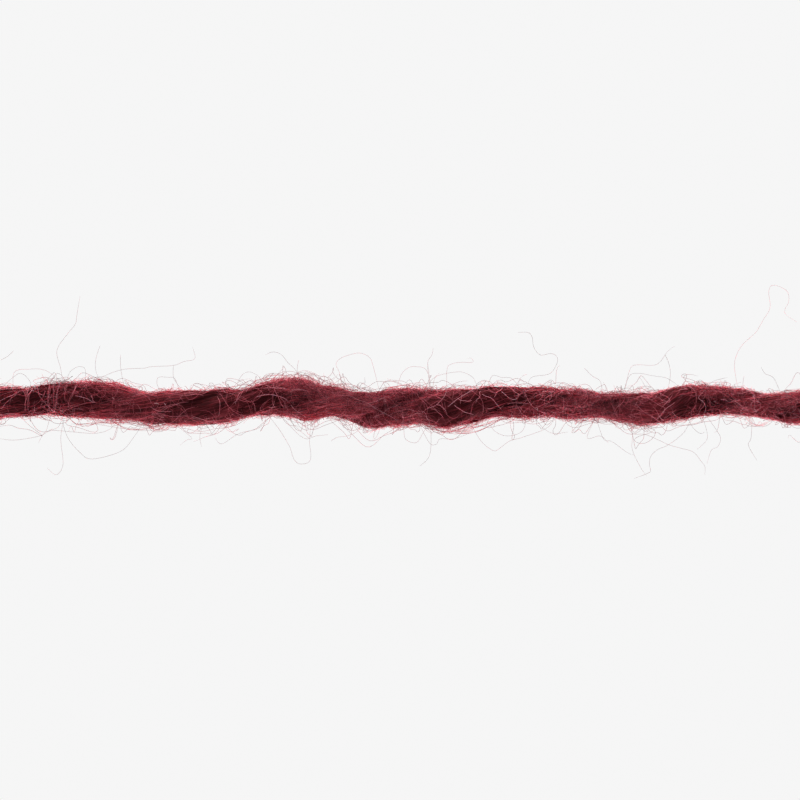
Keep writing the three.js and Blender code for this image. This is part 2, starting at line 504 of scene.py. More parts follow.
def hair_piece(name, routes, thickness, material, shades, tip=0.4):
    """Many fibres as one piece: three-sided tubes along their routes, drawn to thin tips."""
    count, steps, _ = routes.shape
    ahead = np.gradient(routes, axis=1)
    ahead /= np.linalg.norm(ahead, axis=2, keepdims=True) + TINY
    widths = thickness / 2 * np.interp(np.linspace(0, 1, steps), [0, 0.1, 0.8, 1], [tip, 1, 1, tip])
    beside = np.cross(ahead[:, 0], FIRST_CORNER_TOWARDS)
    corners = np.empty((count, steps, TUBE_SIDES, 3))
    for step in range(steps):
        forward = ahead[:, step]
        beside = beside - (beside * forward).sum(1, keepdims=True) * forward
        beside /= np.linalg.norm(beside, axis=1, keepdims=True) + TINY
        above = np.cross(forward, beside)
        for corner in range(TUBE_SIDES):
            angle = 2 * math.pi * corner / TUBE_SIDES
            push = beside * math.cos(angle) + above * math.sin(angle)
            corners[:, step, corner] = routes[:, step] + widths[step] * push
    corners[..., 2] = np.maximum(corners[..., 2], LOWEST_WOOL / 2)

    around = np.arange(TUBE_SIDES)
    fibre = (np.arange(count) * steps * TUBE_SIDES)[:, None, None]
    ring = fibre + (np.arange(steps - 1) * TUBE_SIDES)[None, :, None]
    here = ring + around
    beside = ring + (around + 1) % TUBE_SIDES
    quads = np.stack([here, beside, beside + TUBE_SIDES, here + TUBE_SIDES], axis=-1).reshape(-1, 4)
    root_end = fibre[:, 0] + around[::-1]
    free_end = fibre[:, 0] + (steps - 1) * TUBE_SIDES + around
    piece = mesh_piece(
        name, corners.reshape(-1, 3).tolist(),
        quads.tolist() + root_end.tolist() + free_end.tolist(), material,
        np.repeat(np.broadcast_to(shades.reshape(count, -1), (count, steps)), TUBE_SIDES),
        fibre_bake_places(count, steps))
    piece.parent = strand
    return piece


def fibre_bake_places(count, steps):
    """Bake places with a cell for each fibre, its three sides as bands and its ends beside them."""
    columns = max(4, int(math.sqrt(count / 2)))
    rows = math.ceil(count / columns)
    cell = np.stack([np.arange(count) % columns, np.arange(count) // columns], axis=-1)
    step = np.arange(steps - 1)[:, None]
    start = CELL_EDGE + CELL_FILL * step / (steps - 1) * np.ones((1, TUBE_SIDES))
    end = start + CELL_FILL / (steps - 1)
    low = (np.arange(TUBE_SIDES)[None, :] + CELL_EDGE) / TUBE_SIDES * np.ones((steps - 1, 1))
    high = low + CELL_FILL / TUBE_SIDES
    band = np.stack([
        np.stack([start, low], axis=-1), np.stack([start, high], axis=-1),
        np.stack([end, high], axis=-1), np.stack([end, low], axis=-1)], axis=-2).reshape(-1, 2)
    tip = np.array([(0.02, 0.2), (0.02, 0.8), (0.09, 0.5)])
    size = [columns, rows]
    return np.concatenate([
        ((cell[:, None, :] + part[None, :, :]) / size).reshape(-1, 2)
        for part in (band, tip, tip + [0.89, 0])])


def spun_fibres(pick, count, seed):
    """Routes of fibres along one ply, in locks that share their place and their crimp."""
    rng = np.random.default_rng(seed)
    locks = count // FIBRES_IN_A_LOCK
    lock = rng.integers(0, locks, count)

    def in_locks(low, high, own):
        return (rng.uniform(low, high, locks)[lock] + rng.normal(0, own, count))[:, None]

    length = rng.uniform(2.0, 6.5, (count, 1)) * MM
    half = (CUT_LENGTH - length) / 2
    middle = np.clip(in_locks(-41, 41, 1.5) * MM, -half, half)
    share = np.linspace(-0.5, 0.5, SPUN_STEPS)[None, :]
    along = middle + share * length
    ply = plies_at(along)[pick]
    drift = -in_locks(0.08, 0.42, 0.05) * share * length / MM
    crimp = in_locks(0.02, 0.1, 0.02) * np.sin(
        2 * math.pi * (along / (in_locks(1.2, 3.2, 0.3) * MM) + in_locks(0, 1, 0.12)))
    angle = in_locks(-1.1, 1.1, 0.1) * ply["groove"] + drift + crimp
    sunk = rng.uniform(0.02, 0.12, (count, 1))
    bobbing = 0.04 * uneven_waves(rng, (count, 1), share, 1.0, 3.0)
    tucked = 0.1 * (2 * np.abs(share)) ** 4
    routes = on_the_ply(ply, along, angle, (sunk + bobbing + tucked) * MM)
    routes[..., 2] = np.maximum(routes[..., 2], LOWEST_WOOL)
    # The tone of each lock and of each fibre, with painted shade: the deeper a fibre is sunk into the
    # ply, the darker it is drawn.
    tone_with_painted_depth_shade = 0.98 * rng.random(locks)[lock] ** 2 + 0.2 * rng.random(count) + 0.02 - sunk[:, 0]
    # Painted shade: fibres are drawn darker towards the grooves where the plies meet.
    painted_groove_shade = np.abs(angle / ply["groove"]).clip(0, 1) ** 4
    felting = felting_at(along, direction_of(routes))
    return routes, tone_with_painted_depth_shade[:, None] - 0.4 * painted_groove_shade + 0.46 * felting


spun_wool = wool_material(
    "spun wool", deep=(0.064, 0.011, 0.0135), light=(0.97, 0.13, 0.172),
    fibre_contrast=2.5, patch_contrast=0.8, glow=0.2)
for name, pick, count in (("heavy_ply_fibres", 0, 2000), ("light_ply_fibres", 1, 1350)):
    routes, shades = spun_fibres(pick, count, 11 + pick)
    hair_piece(name, routes, SPUN_THICKNESS, spun_wool, shades)

# The loose outer layer
# Fibres that spinning only half caught lie over the plies, most of them nearly along the yarn and
# some across it. Light gets all round them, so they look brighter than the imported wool.

LOOSE_THICKNESS = 0.032 * MM
STANDING_THICKNESS = 0.026 * MM


def strand_reach(along, direction):
    """How far the plies come out from the twist axis in a direction, where 0 is straight up."""
    away = direction - turn_at(along)
    reaches = []
    for ply in plies_at(along):
        lean = ply["way"] * np.cos(away) / ply["out"]
        spread = lean ** 2 + (np.sin(away) / ply["across"]) ** 2
        offset = ply["centre"] / ply["out"]
        root = np.sqrt((lean * offset) ** 2 + spread * (1 - offset ** 2))
        reaches.append((lean * offset + root) / spread)
    return np.maximum(*reaches)


def around_the_strand(along, direction, reach):
    """Points at a reach from the twist axis, kept above the surface."""
    y = reach * np.sin(direction)
    z = reach * np.cos(direction)
    y = value_at(along, "side") + swollen(along, y, z)
    return np.stack([along, y, np.maximum(axis_height_at(along) + z, LOWEST_WOOL)], axis=-1)


GROOVE_DIRECTIONS = (math.radians(94), math.radians(-94))
TRIES_FOR_EACH = 24
THICKEST = 8


def patchy_starts(rng, count, on_top):
    """Places all over the strand, close at its sides and where it is felted, few in grooves."""
    tries = TRIES_FOR_EACH * count
    along = rng.uniform(-CUT_LENGTH / 2, CUT_LENGTH / 2, tries)
    direction = rng.uniform(-math.pi, math.pi, tries)
    thickness = np.exp(1.7 * felting_at(along, direction))
    for groove in GROOVE_DIRECTIONS:
        off_groove = np.sin((direction - turn_at(along) - groove) / 2)
        thickness = thickness * (1 - 0.7 * np.exp(-(off_groove / 0.16) ** 2))
    thickness = thickness * np.interp(
        np.abs(direction), [0, 0.7, 1.3, 1.9, 2.6], [on_top, on_top + 0.1, 1, 1, 0.5])
    kept = rng.random(tries) < thickness / THICKEST
    return along[kept][:count], direction[kept][:count]


def wandering_fibres(seed, starts, length, heading_spread, curl, rise, steps, painted_light_fade=0.0):
    """Routes that wander and curl over the plies, and shades with painted light: lighter near the
    plies, as if lit by the wool, and darker as they rise from them.
    """
    rng = np.random.default_rng(seed)
    start_along, start_direction = starts
    count = len(start_along)
    share = np.linspace(0, 1, steps)[None, :]
    step = rng.uniform(*length, (count, 1)) * MM / (steps - 1)
    bend = curl * (0.7 * rng.normal(0, 1, (count, 1))
                   + 1.6 * uneven_waves(rng, (count, 1), share, 0.5, 3.0))
    heading = rng.normal(-0.15, heading_spread, (count, 1)) + math.pi * rng.integers(0, 2, (count, 1))
    heading = heading + np.cumsum(bend * step / MM, axis=1)
    along = start_along[:, None] + np.cumsum(step * np.cos(heading), axis=1)
    along = np.clip(along, -CUT_LENGTH / 2, CUT_LENGTH / 2)
    height = rise(rng, share, count) * MM
    direction = np.empty((count, steps))
    reach = np.empty((count, steps))
    direction[:, 0] = start_direction
    for i in range(steps):
        reach[:, i] = strand_reach(along[:, i], direction[:, i]) + height[:, i]
        if i + 1 < steps:
            sideways = step[:, 0] * np.sin(heading[:, i])
            direction[:, i + 1] = direction[:, i] + sideways / np.maximum(reach[:, i], 0.4 * MM)
    # Painted light: the fibres are drawn lighter near the plies, as if lit by the red wool, and darker
    # as they rise.
    shades = rng.random((count, 1)) - painted_light_fade * height / MM
    return around_the_strand(along, direction, reach), shades


def half_caught(rng, share, count):
    """Heights in millimetres of fibres that go in and out of the loose layer."""
    middle = rng.uniform(-0.12, 0.12, (count, 1))
    wave = 0.05 * uneven_waves(rng, (count, 1), share, 0.5, 2.0)
    return middle + wave - 0.12 * (2 * np.abs(share - 0.5)) ** 4


def standing(rng, share, count):
    """Heights in millimetres of short fibre ends that stand out of the wool."""
    lift = np.minimum(0.08 + rng.exponential(0.1, (count, 1)), 0.35)
    wave = 0.3 * share * uneven_waves(rng, (count, 1), share, 0.5, 1.5)
    return lift * (share ** 0.8 + wave) - 0.04


def lying_over(rng, share, count):
    """Heights in millimetres of fibres that lie over the others, with both ends tucked in."""
    top = rng.uniform(0.02, 0.16, (count, 1))
    wave = 0.03 * uneven_waves(rng, (count, 1), share, 0.5, 2.0)
    return top * np.sin(math.pi * share) ** 0.5 + wave - 0.08 * (2 * np.abs(share - 0.5)) ** 6


loose_wool = wool_material(
    "loose wool", deep=(0.11, 0.013, 0.017), light=(1.0, 0.235, 0.29),
    fibre_contrast=1.6, patch_contrast=0.8, glow=0.8)
# Painted light: a lighter, paler copy of the same red wool, for hairs that lie on top and catch the
# lamp.
lit_wool = wool_material(
    "lit wool", deep=(0.7, 0.16, 0.195), light=(1.0, 0.37, 0.43),
    fibre_contrast=1.0, patch_contrast=0.4, glow=1.3)

starts_rng = np.random.default_rng(20)
for name, seed, count, on_top, length, heading_spread, curl, rise, steps, thickness in (
        ("half_caught_fibres", 21, 1100, 0.3, (1.0, 4.0), 0.35, 0.45, half_caught, 11, LOOSE_THICKNESS),
        ("standing_ends", 23, 5000, 0.4, (0.2, 0.9), 1.2, 1.5, standing, 5, STANDING_THICKNESS),
        ("crossing_fibres", 22, 90, 0.3, (1.5, 5.5), 0.8, 0.5, lying_over, 19, LOOSE_THICKNESS)):
    routes, shades = wandering_fibres(
        seed, patchy_starts(starts_rng, count, on_top), length, heading_spread, curl, rise, steps)
    hair_piece(name, routes, thickness, loose_wool, shades)

# The fuzz
# Fibre ends and small loops stand out from the plies on all sides, close to them for the most
# part and rarely more than a millimetre away. Some stretches are fuzzier than others.

UP_SIDE = math.pi / 2
DOWN_SIDE = -math.pi / 2
FUZZY_STRETCHES = [
    dict(along=-24.0, spread=2.6, side=UP_SIDE, share=3),
    dict(along=-19.5, spread=2.8, side=DOWN_SIDE, share=2),
    dict(along=-9.5, spread=2.0, side=UP_SIDE, share=2),
    dict(along=-4.5, spread=2.2, side=UP_SIDE, share=4),
    dict(along=-6.5, spread=1.6, side=DOWN_SIDE, share=1),
    dict(along=3.0, spread=2.2, side=UP_SIDE, share=2),
    dict(along=1.8, spread=1.5, side=DOWN_SIDE, share=2),
    dict(along=13.0, spread=2.5, side=UP_SIDE, share=1),
    dict(along=16.5, spread=2.0, side=DOWN_SIDE, share=3),
    dict(along=26.5, spread=1.2, side=DOWN_SIDE, share=1),
    dict(along=-35.0, spread=3.0, side=DOWN_SIDE, share=2),
    dict(along=35.0, spread=3.0, side=UP_SIDE, share=2),
]


def fuzzy_starts(rng, count):
    """Places for the fuzz: half of it anywhere, and half in the fuzzier stretches."""
    half = count // 2
    along, direction = patchy_starts(rng, half, 0.15)
    shares = np.array([row["share"] for row in FUZZY_STRETCHES], dtype=float)
    rows = rng.choice(len(FUZZY_STRETCHES), count - half, p=shares / shares.sum())
    columns = {name: np.array([row[name] for row in FUZZY_STRETCHES])[rows]
               for name in ("along", "spread", "side")}
    more_along = rng.normal(columns["along"], columns["spread"]) * MM
    more_direction = rng.normal(columns["side"], 0.6)
    return np.append(along, more_along), np.append(direction, more_direction)


def close_fuzz(rng, share, count):
    """Heights in millimetres of low loops and of free ends."""
    lift = 0.04 + rng.exponential(0.16, (count, 1))
    shape = np.where(rng.random((count, 1)) < 0.6, np.sin(math.pi * share), share ** 1.3)
    wave = 0.3 * share * uneven_waves(rng, (count, 1), share, 1.0, 3.0)
    return lift * (shape + wave) - 0.04


def far_fuzz(rng, share, count):
    """Heights in millimetres of the higher loops and longer free ends."""
    lift = np.minimum(0.18 + rng.exponential(0.36, (count, 1)), 1.8)
    shape = np.where(rng.random((count, 1)) < 0.65, np.sin(math.pi * share) ** 0.8, share ** 1.2)
    wave = 0.2 * share * uneven_waves(rng, (count, 1), share, 1.0, 3.0)
    return lift * (shape + wave) - 0.05


FUZZ_THICKNESS = 0.023 * MM
fuzz_wool = wool_material(
    "fuzz wool", deep=(0.09, 0.016, 0.021), light=(0.95, 0.16, 0.21),
    fibre_contrast=1.0, patch_contrast=0.6, glow=0.5)
# The fuzz is drawn with painted light: lighter near the plies and darker the further it stands out.
for name, seed, count, length, curl, rise, steps in (
        ("close_fuzz", 31, 1200, (1.0, 3.8), 1.2, close_fuzz, 14),
        ("curly_fuzz", 32, 1150, (0.6, 2.4), 2.4, close_fuzz, 15),
        ("far_fuzz", 33, 1100, (2.0, 6.5), 0.9, far_fuzz, 19)):
    routes, shades = wandering_fibres(
        seed, fuzzy_starts(starts_rng, count), length, heading_spread=1.1, curl=curl, rise=rise,
        steps=steps, painted_light_fade=1.2)
    hair_piece(name, routes, FUZZ_THICKNESS, fuzz_wool, shades)

# The single hairs
# Long stray hairs stand out from both sides of the strand. Others are wound over it, lie curled on
# it or hang along its near edge, and a few tiny bright flecks are painted glints of light on the
# fibres. Each row is one hair or lock, as places along the yarn and to its side in millimetres.

STRAY_HAIRS = [
    [(25.4, 1.0), (25.2, 2.8), (25.4, 3.7), (25.9, 4.5), (26.9, 5.4), (27.5, 6.4), (28.0, 7.3),
     (27.9, 8.5), (28.2, 9.0), (29.1, 8.7), (29.4, 8.3), (29.4, 7.7), (29.1, 6.9), (30.0, 6.2)],
    [(25.9, 0.9), (25.8, 1.5), (25.9, 2.1)],
    [(27.1, 2.8), (27.4, 2.3), (28.0, 1.9), (28.5, 0.9)],
    [(-25.2, 1.6), (-25.4, 2.7), (-25.7, 4.0), (-25.0, 5.2), (-24.4, 6.0), (-24.3, 6.7), (-24.1, 8.1)],
    [(-25.0, 1.6), (-24.7, 2.4), (-24.1, 2.8), (-23.6, 2.6), (-23.6, 1.6)],
    [(-22.5, 4.4), (-22.8, 3.4), (-22.8, 2.5), (-22.4, 1.5)],
    [(-23.0, 1.5), (-22.2, 2.1), (-20.8, 2.6), (-19.2, 2.7), (-18.7, 2.8), (-17.0, 2.9), (-16.2, 3.2),
     (-15.4, 3.4), (-15.6, 4.3)],
    [(-16.9, 2.9), (-16.9, 1.9), (-16.2, 0.9)],
    [(-30.0, 3.3), (-29.5, 3.6), (-29.1, 4.0)],
    [(-29.9, 1.2), (-29.0, 2.0), (-28.5, 2.3), (-28.0, 2.0), (-27.4, 1.1)],
    [(-29.0, 1.1), (-28.8, 2.4), (-27.6, 2.6), (-26.4, 2.5), (-25.2, 1.6)],
    [(-20.9, 3.7), (-20.9, 2.5), (-20.7, 1.2)],
    [(-17.9, 0.8), (-18.2, 1.5), (-18.1, 2.0), (-17.4, 2.0), (-16.9, 1.9), (-16.5, 0.9)],
    [(-12.4, 0.8), (-11.9, 2.0), (-11.3, 2.4), (-10.6, 2.1), (-10.1, 1.4)],
    [(-10.6, 1.2), (-10.0, 2.2), (-8.8, 2.2), (-7.9, 1.6)],
    [(-10.1, 3.7), (-9.5, 3.9), (-8.9, 3.7), (-8.4, 3.1), (-7.8, 2.5), (-7.4, 1.6)],
    [(-7.6, 3.3), (-7.7, 2.6), (-7.4, 1.6)],
    [(-4.4, 1.0), (-4.5, 2.2), (-4.8, 3.0), (-4.3, 3.5), (-3.1, 3.8), (-2.3, 3.5), (-2.0, 2.8),
     (-1.5, 0.8)],
    [(-0.3, 1.0), (0.1, 2.2), (0.6, 2.7), (1.2, 2.8), (2.0, 2.5), (2.4, 0.9)],
    [(2.5, 4.2), (2.4, 3.7), (2.1, 3.2), (2.1, 2.5), (2.3, 0.9)],
    [(3.5, 0.9), (3.5, 2.6), (3.9, 3.0), (4.6, 3.1), (5.4, 3.1), (5.3, 3.4), (5.0, 3.4)],
    [(2.4, 0.8), (2.6, 1.9), (3.1, 2.2), (4.3, 2.4), (4.9, 2.3), (5.5, 1.9), (5.8, 1.1)],
    [(6.5, 1.1), (6.9, 2.1), (7.6, 2.0), (8.4, 1.9), (9.0, 1.1)],
    [(8.9, 5.4), (9.7, 5.4), (10.0, 5.0), (10.1, 4.3), (10.6, 3.7), (11.5, 3.8), (11.9, 3.3),
     (11.3, 2.3), (9.9, 2.0), (9.5, 1.1)],
    [(13.8, 2.7), (14.4, 2.1), (15.0, 1.7), (15.2, 0.7)],
    [(16.8, 0.7), (17.1, 2.3), (17.5, 2.9), (18.9, 2.9), (19.4, 3.2), (19.9, 3.9), (20.4, 4.3)],
    [(19.8, 3.7), (20.1, 3.0), (20.2, 2.2), (20.0, 1.0)],
    [(16.7, 0.7), (17.2, 2.1), (18.0, 2.3), (19.0, 2.1), (20.0, 1.9), (21.0, 1.2)],
    [(22.9, 1.2), (23.5, 1.7), (24.6, 2.0)],
    [(-25.1, -0.8), (-25.4, -2.5), (-25.2, -4.5), (-25.7, -5.3), (-26.4, -4.8)],
    [(-25.4, -0.8), (-24.9, -2.4), (-23.9, -3.6), (-23.0, -4.1), (-21.0, -3.6), (-20.1, -2.8),
     (-19.2, -1.2)],
    [(-30.0, -2.6), (-28.8, -2.7), (-27.0, -2.4), (-26.2, -2.0), (-24.5, -2.1), (-22.9, -2.2),
     (-21.8, -1.9), (-21.0, -1.1)],
    [(-26.2, -0.8), (-26.5, -2.0), (-26.9, -2.9)],
    [(-24.6, -1.5), (-22.9, -1.5), (-21.0, -1.8), (-19.3, -2.0), (-17.6, -1.9), (-16.5, -1.6)],
    [(-16.9, -1.5), (-16.0, -2.2), (-15.6, -2.6), (-16.0, -2.7), (-16.5, -3.1)],
    [(-14.7, -1.4), (-15.0, -2.4), (-14.9, -3.2)],
    [(-13.8, -2.5), (-13.5, -2.9), (-13.1, -2.9), (-12.0, -2.2), (-10.6, -1.8), (-9.6, -0.8)],
    [(-9.9, -0.8), (-9.0, -2.0), (-8.3, -3.2), (-8.0, -4.1), (-7.6, -4.5), (-6.9, -4.4), (-6.7, -3.9),
     (-6.8, -2.6), (-6.6, -1.2)],
    [(-8.9, -0.8), (-8.0, -1.9), (-7.1, -2.6), (-6.3, -2.4), (-5.4, -2.3)],
    [(-8.6, -0.8), (-7.9, -1.6), (-6.8, -2.6)],
    [(-5.2, -2.8), (-4.7, -2.5), (-4.0, -2.4), (-3.3, -2.1), (-2.8, -1.5)],
    [(2.3, -1.7), (2.3, -3.2), (2.1, -4.0), (1.6, -4.5), (1.4, -4.6)],
    [(5.2, -1.3), (6.1, -2.8), (7.0, -3.5), (7.4, -3.4), (8.2, -2.8), (9.2, -2.5), (11.0, -1.8),
     (11.8, -0.9)],
    [(10.0, -0.9), (10.7, -1.8), (11.5, -2.2), (12.6, -2.1)],
    [(0.3, -1.6), (0.4, -2.6), (1.2, -2.9), (1.7, -2.2), (2.0, -1.6)],
    [(1.5, -1.6), (2.2, -2.9), (2.7, -3.0), (3.0, -2.6), (4.0, -2.6), (5.2, -2.2)],
    [(6.4, -1.1), (7.2, -2.1), (8.2, -2.4), (9.2, -2.0), (9.5, -0.9)],
    [(14.7, -1.0), (14.2, -2.0), (14.1, -2.6), (15.0, -2.4), (15.6, -2.9)],
    [(17.2, -1.3), (17.4, -2.4), (17.4, -3.4), (18.0, -4.7), (18.5, -5.4)],
    [(17.6, -5.6), (18.6, -5.2), (18.8, -5.0), (18.7, -4.5), (18.8, -3.9), (19.3, -3.4), (20.1, -3.1),
     (20.7, -2.7), (21.4, -2.0), (21.9, -0.9)],
    [(16.8, -1.3), (17.4, -2.2), (18.4, -2.3), (20.0, -3.0), (21.0, -3.3), (22.0, -3.6), (22.6, -4.3),
     (22.9, -4.7), (22.9, -5.3)],
    [(14.7, -1.0), (15.2, -2.6), (15.8, -2.8), (16.9, -3.6), (17.4, -3.8)],
    [(22.6, -0.8), (23.0, -2.0), (23.0, -2.7), (22.3, -3.4)],
    [(22.9, -0.8), (23.8, -2.0), (24.1, -2.6), (23.9, -3.2), (23.4, -3.5), (23.1, -4.5)],
    [(26.4, -0.9), (26.3, -2.5), (26.1, -3.1), (26.7, -4.2)],
    [(21.6, -1.1), (22.0, -1.8), (22.5, -2.2), (22.9, -2.1)],
]

WOUND_LOCKS = [
    [(-27.6, 1.2), (-27.8, 0.5), (-27.8, -0.5)],
    [(-27.4, 1.2), (-27.6, 0.5), (-27.6, -0.5)],
    [(-26.0, 1.5), (-26.1, 0.6), (-26.1, -0.5)],
    [(-25.8, 1.6), (-25.7, 0.6), (-25.7, -0.5)],
    [(-25.3, 1.6), (-25.5, 0.8), (-25.5, 0.2), (-25.8, -0.5)],
    [(-24.8, 1.6), (-24.9, 0.8), (-24.8, 0.2)],
    [(-24.1, 1.5), (-24.3, 0.9), (-24.7, -0.2)],
]

LAID_HAIRS = [
    [(-24.1, 0.6), (-23.6, 0.5), (-22.7, 0.1)],
    [(-25.2, -0.5), (-24.4, -0.2), (-23.4, 0.0), (-22.7, 0.1)],
    [(-29.9, 0.1), (-29.2, 0.5), (-28.4, 0.9)],
    [(-29.6, -0.3), (-29.1, 0.2), (-28.6, 0.7)],
    [(-22.9, 0.7), (-22.9, 0.4), (-22.7, 0.1)],
    [(-18.6, -0.2), (-17.9, -0.5), (-17.1, -0.6)],
    [(-18.5, -0.6), (-18.0, -0.8), (-17.3, -1.0)],
    [(-13.6, 0.6), (-13.3, 0.0), (-13.4, -0.5), (-13.5, -0.9)],
    [(-10.6, 0.5), (-9.8, 0.7), (-9.0, 0.6), (-8.4, 0.3), (-7.9, -0.4), (-7.0, -1.0)],
    [(-9.9, 1.4), (-9.3, 1.2), (-8.4, 1.1)],
    [(-8.1, 0.9), (-7.3, 1.1), (-6.8, 0.9)],
    [(-8.9, 0.5), (-8.5, 0.0), (-8.4, -0.7)],
    [(-7.7, -0.9), (-7.5, -0.6), (-7.2, -0.5)],
    [(-4.6, 0.6), (-3.8, 0.6), (-3.1, 0.3), (-2.4, 0.1), (-1.4, -0.6), (-0.2, -1.2)],
    [(-2.6, 0.0), (-1.8, 0.2), (-1.2, 0.5), (-0.6, 0.6)],
    [(-1.6, 1.0), (-1.2, 0.6), (-1.1, 0.0), (-1.1, -0.6)],
    [(-1.4, 0.7), (-0.8, 0.4), (-0.3, 0.0), (0.1, -0.3)],
    [(-1.9, -1.0), (-1.2, -0.6), (-0.5, -0.2), (0.1, 0.1)],
    [(1.4, 0.5), (1.9, 0.7), (2.4, 0.7), (3.2, 0.3)],
    [(2.7, 0.0), (3.2, -0.3), (3.5, -0.7)],
    [(1.6, -0.7), (2.0, -0.4), (2.6, -0.1), (3.2, 0.5), (3.4, 1.0)],
    [(1.8, -0.5), (1.9, -0.8), (2.2, -1.4)],
    [(0.2, -0.2), (0.2, -0.9), (0.3, -1.6)],
    [(0.3, -1.0), (1.0, -0.8), (1.6, -0.7)],
    [(2.3, -0.3), (2.8, -0.6), (3.2, -1.0)],
    [(3.5, -0.2), (4.2, 0.3), (4.9, 0.8), (5.7, 1.2)],
    [(4.0, 0.0), (4.6, -0.5), (5.4, -0.8)],
    [(4.3, 0.4), (4.8, 0.2), (5.3, 0.3)],
    [(6.0, 1.0), (5.9, 0.6), (5.6, 0.1)],
    [(6.1, 0.8), (7.0, 0.2), (7.7, -0.6)],
    [(7.0, 0.5), (7.2, 0.9), (7.7, 1.2)],
    [(7.6, 0.9), (8.0, 0.5), (8.6, 0.4), (8.9, 0.7)],
    [(8.0, 0.0), (8.8, 0.1), (9.6, 0.0)],
    [(8.2, 1.2), (8.6, 0.9), (9.0, 0.7)],
    [(9.2, 1.0), (9.6, 0.3), (10.1, -0.4), (10.6, -0.7), (11.3, -0.7), (11.6, -1.0)],
    [(10.1, -0.3), (10.5, -0.1), (11.4, 0.3)],
    [(11.2, 1.0), (11.3, 0.6), (11.1, 0.3)],
    [(11.5, -0.6), (12.0, -0.3), (12.6, -0.1), (13.8, -0.2), (14.6, 0.2)],
    [(13.8, -0.5), (14.2, -0.2), (14.8, 0.3)],
    [(19.0, 0.6), (19.5, 0.3), (19.9, 0.1)],
    [(19.3, 0.8), (19.9, 0.5), (20.0, 0.2), (19.9, 0.1)],
    [(20.3, 0.1), (19.7, -0.4), (19.0, -1.2)],
    [(16.9, 0.6), (16.5, 0.0), (16.1, -0.4), (15.8, -0.9)],
    [(22.6, 1.0), (22.2, 0.5), (22.6, 0.2), (22.8, -0.3), (22.8, -0.8)],
    [(22.7, 0.1), (22.5, -0.4), (22.1, -1.0)],
    [(25.2, 0.1), (25.6, -0.3), (26.0, -0.5)],
    [(25.5, -0.8), (25.5, -0.4), (25.9, -0.2)],
    [(26.2, -0.3), (26.2, 0.0), (26.6, 0.2), (26.9, 0.1), (26.8, -0.4), (26.5, -0.6), (26.2, -0.3)],
    [(26.4, 0.6), (26.5, 0.1), (26.4, -0.3), (26.6, -0.5)],
    [(28.9, 0.1), (29.4, 0.1), (29.5, -0.3), (29.3, -0.6)],
    [(20.1, -0.6), (20.6, -0.9), (21.0, -1.1)],
    [(23.9, 0.4), (24.5, 0.2), (25.0, 0.2)],
]

HANGING_HAIRS = [
    [(-24.9, -1.0), (-24.2, -1.5), (-23.0, -1.5), (-21.5, -1.3)],
    [(-22.9, -1.3), (-21.8, -1.4), (-20.8, -1.3), (-19.0, -1.7), (-18.0, -1.6)],
    [(-21.6, -1.2), (-20.6, -1.8), (-19.8, -1.9), (-18.6, -1.8), (-17.6, -1.6)],
    [(-18.9, -1.5), (-18.6, -1.8), (-18.1, -1.5)],
    [(-18.2, -1.6), (-17.8, -1.9), (-17.5, -1.9), (-17.4, -1.6)],
    [(3.1, -2.0), (4.6, -1.9), (6.0, -1.4), (7.4, -0.8)],
    [(2.4, -1.7), (3.2, -2.1), (4.7, -2.1), (5.5, -1.9)],
    [(3.8, -2.1), (5.8, -1.7), (7.7, -1.0)],
    [(4.1, -2.2), (5.5, -2.1), (7.0, -1.5), (8.0, -0.9)],
    [(2.0, -1.8), (3.6, -2.0), (5.6, -1.6)],
    [(25.9, -1.0), (26.5, -1.5), (27.2, -1.6), (27.7, -1.4)],
]

# Painted glints: short bright fibre bits where light glints on the wool.
PAINTED_GLINT_PLACES = [
    [(-18.3, 0.05), (-18.1, 0.05), (-17.95, 0.0)],
    [(-17.55, 0.05), (-17.4, -0.1)],
    [(-17.8, -1.0), (-17.6, -1.0)],
    [(-21.45, 0.5), (-21.3, 0.35)],
    [(10.25, -0.3), (10.25, -0.5)],
    [(23.4, 0.2), (23.55, 0.15)],
    [(23.65, 0.1), (23.7, 0.0)],
]


SEEN_DEGREES = 110
SEEN_DIRECTIONS = 89
DRAWN_FINER = 8
HEIGHTS_SMOOTHED = 5


def seen_from_above(along, side, slope):
    """Heights of places seen from above: on the wool, and beside it on a slope from its edge."""
    directions = np.radians(np.linspace(-SEEN_DEGREES, SEEN_DEGREES, SEEN_DIRECTIONS))[None, :]
    top = SEEN_DIRECTIONS // 2
    reach = strand_reach(along[:, None], directions)
    sides = swollen(along[:, None], reach * np.sin(directions), reach * np.cos(directions))
    sides += value_at(along, "side")[:, None]
    sides[:, top:] = np.maximum.accumulate(sides[:, top:], axis=1)
    sides[:, top::-1] = np.minimum.accumulate(sides[:, top::-1], axis=1)
    heights = axis_height_at(along)[:, None] + reach * np.cos(directions)
    result = np.empty(len(along))
    for i in range(len(along)):
        on_the_wool = np.clip(side[i], sides[i, 0] + HAIRLINE, sides[i, -1] - HAIRLINE)
        result[i] = np.interp(on_the_wool, sides[i], heights[i]) + slope * abs(side[i] - on_the_wool)
    return result


